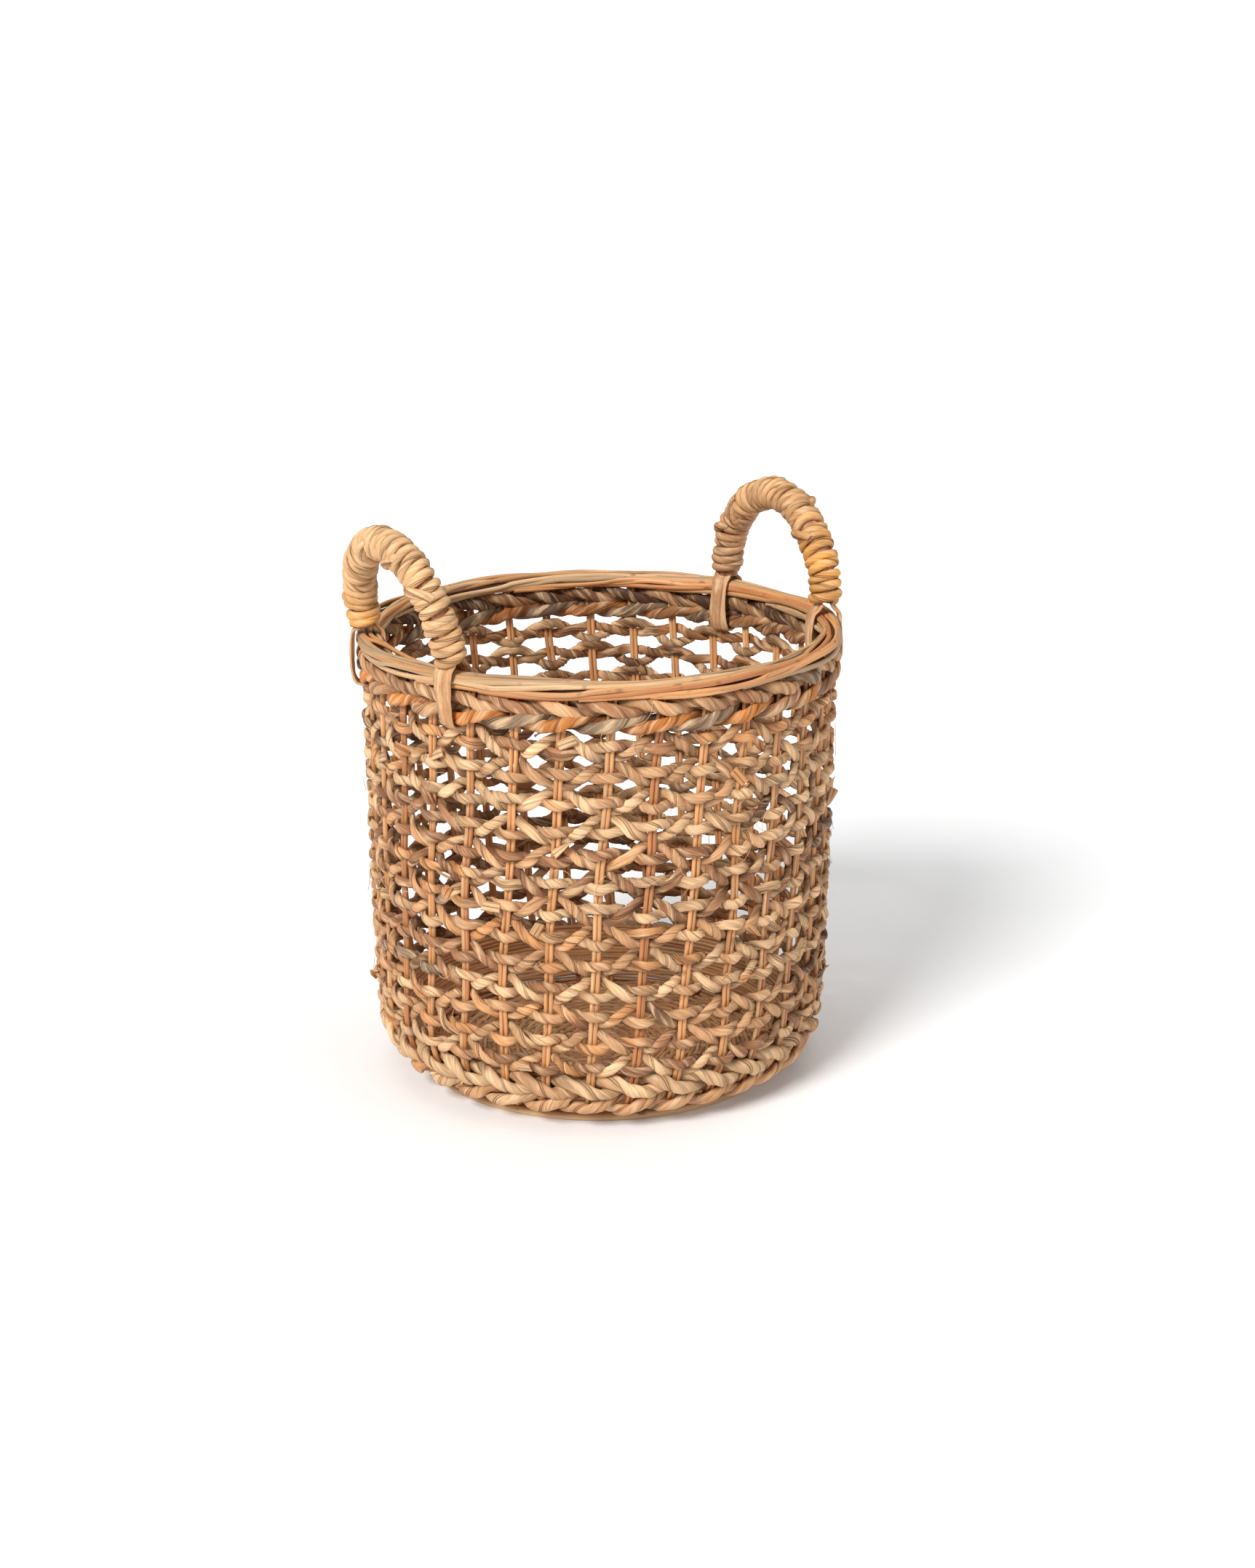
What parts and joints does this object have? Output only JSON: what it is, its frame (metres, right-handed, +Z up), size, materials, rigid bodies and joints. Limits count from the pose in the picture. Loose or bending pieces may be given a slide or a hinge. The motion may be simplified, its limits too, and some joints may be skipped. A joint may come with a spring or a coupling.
{
  "type": "storage basket",
  "caption": "Round open-weave seagrass storage basket with cane stakes, twined rows, a cane border and cord-wrapped arch handles that lean on strap lashings.",
  "frame": {"origin": "middle of the base mat's flat underside, on the ground", "axes": "+Z up; the two handles stand on the X axis, the upright one at +X and the one that leans out at -X"},
  "size_m": [0.3885, 0.3812, 0.4569],
  "materials": {
    "stake_cane": "peeled round cane, satin",
    "seagrass_weaver": "twisted dried leaf strand, matt",
    "band_weaver": "thick twisted dried leaf strand, matt",
    "border_cane": "smooth round cane, satin",
    "base_weave": "close-woven pale reed, matt",
    "handle_bundle": "bundle of stiff dried stems",
    "handle_cord": "twisted seagrass cord, matt",
    "strap": "flat folded leaf strap, matt"
  },
  "bodies": {
    "basket": {"stake_01": "stake_cane", "stake_02": "stake_cane", "stake_03": "stake_cane", "stake_04": "stake_cane", "stake_05": "stake_cane", "stake_06": "stake_cane", "stake_07": "stake_cane", "stake_08": "stake_cane", "stake_09": "stake_cane", "stake_10": "stake_cane", "stake_11": "stake_cane", "stake_12": "stake_cane", "stake_13": "stake_cane", "stake_14": "stake_cane", "stake_15": "stake_cane", "stake_16": "stake_cane", "stake_17": "stake_cane", "stake_18": "stake_cane", "stake_19": "stake_cane", "stake_20": "stake_cane", "stake_21": "stake_cane", "stake_22": "stake_cane", "stake_23": "stake_cane", "stake_24": "stake_cane", "stake_25": "stake_cane", "stake_26": "stake_cane", "stake_27": "stake_cane", "stake_28": "stake_cane", "stake_29": "stake_cane", "stake_30": "stake_cane", "stake_31": "stake_cane", "stake_32": "stake_cane", "open_row_01": "seagrass_weaver", "open_row_02": "seagrass_weaver", "open_row_03": "seagrass_weaver", "open_row_04": "seagrass_weaver", "open_row_05": "seagrass_weaver", "open_row_06": "seagrass_weaver", "open_row_07": "seagrass_weaver", "open_row_08": "seagrass_weaver", "open_row_09": "seagrass_weaver", "open_row_10": "seagrass_weaver", "open_row_11": "seagrass_weaver", "open_row_12": "seagrass_weaver", "open_row_13": "seagrass_weaver", "upper_band": "band_weaver", "lower_band": "band_weaver", "border_outer": "border_cane", "border_inner": "border_cane", "border_cap": "border_cane", "base_mat": "base_weave", "foot_ring": "border_cane", "lashing_right_a": "strap", "lashing_right_b": "strap", "lashing_left_a": "strap", "lashing_left_b": "strap"},
    "right_handle": {"handle_right_core": "handle_bundle", "handle_right_wrap": "handle_cord"},
    "left_handle": {"handle_left_core": "handle_bundle", "handle_left_wrap": "handle_cord"}
  },
  "joints": [
    {"name": "right_handle_lean", "type": "hinge", "parent": "basket", "child": "right_handle", "pos_m": [0.16722, 0, 0.3594], "axis": [0, 1, 0], "range_deg": [-15, 20], "deforming": ["lashing_right_a", "lashing_right_b"]},
    {"name": "left_handle_lean", "type": "hinge", "parent": "basket", "child": "left_handle", "pos_m": [-0.16722, 0, 0.3594], "axis": [0, -1, 0], "range_deg": [-27, 8], "deforming": ["lashing_left_a", "lashing_left_b"]}
  ]
}
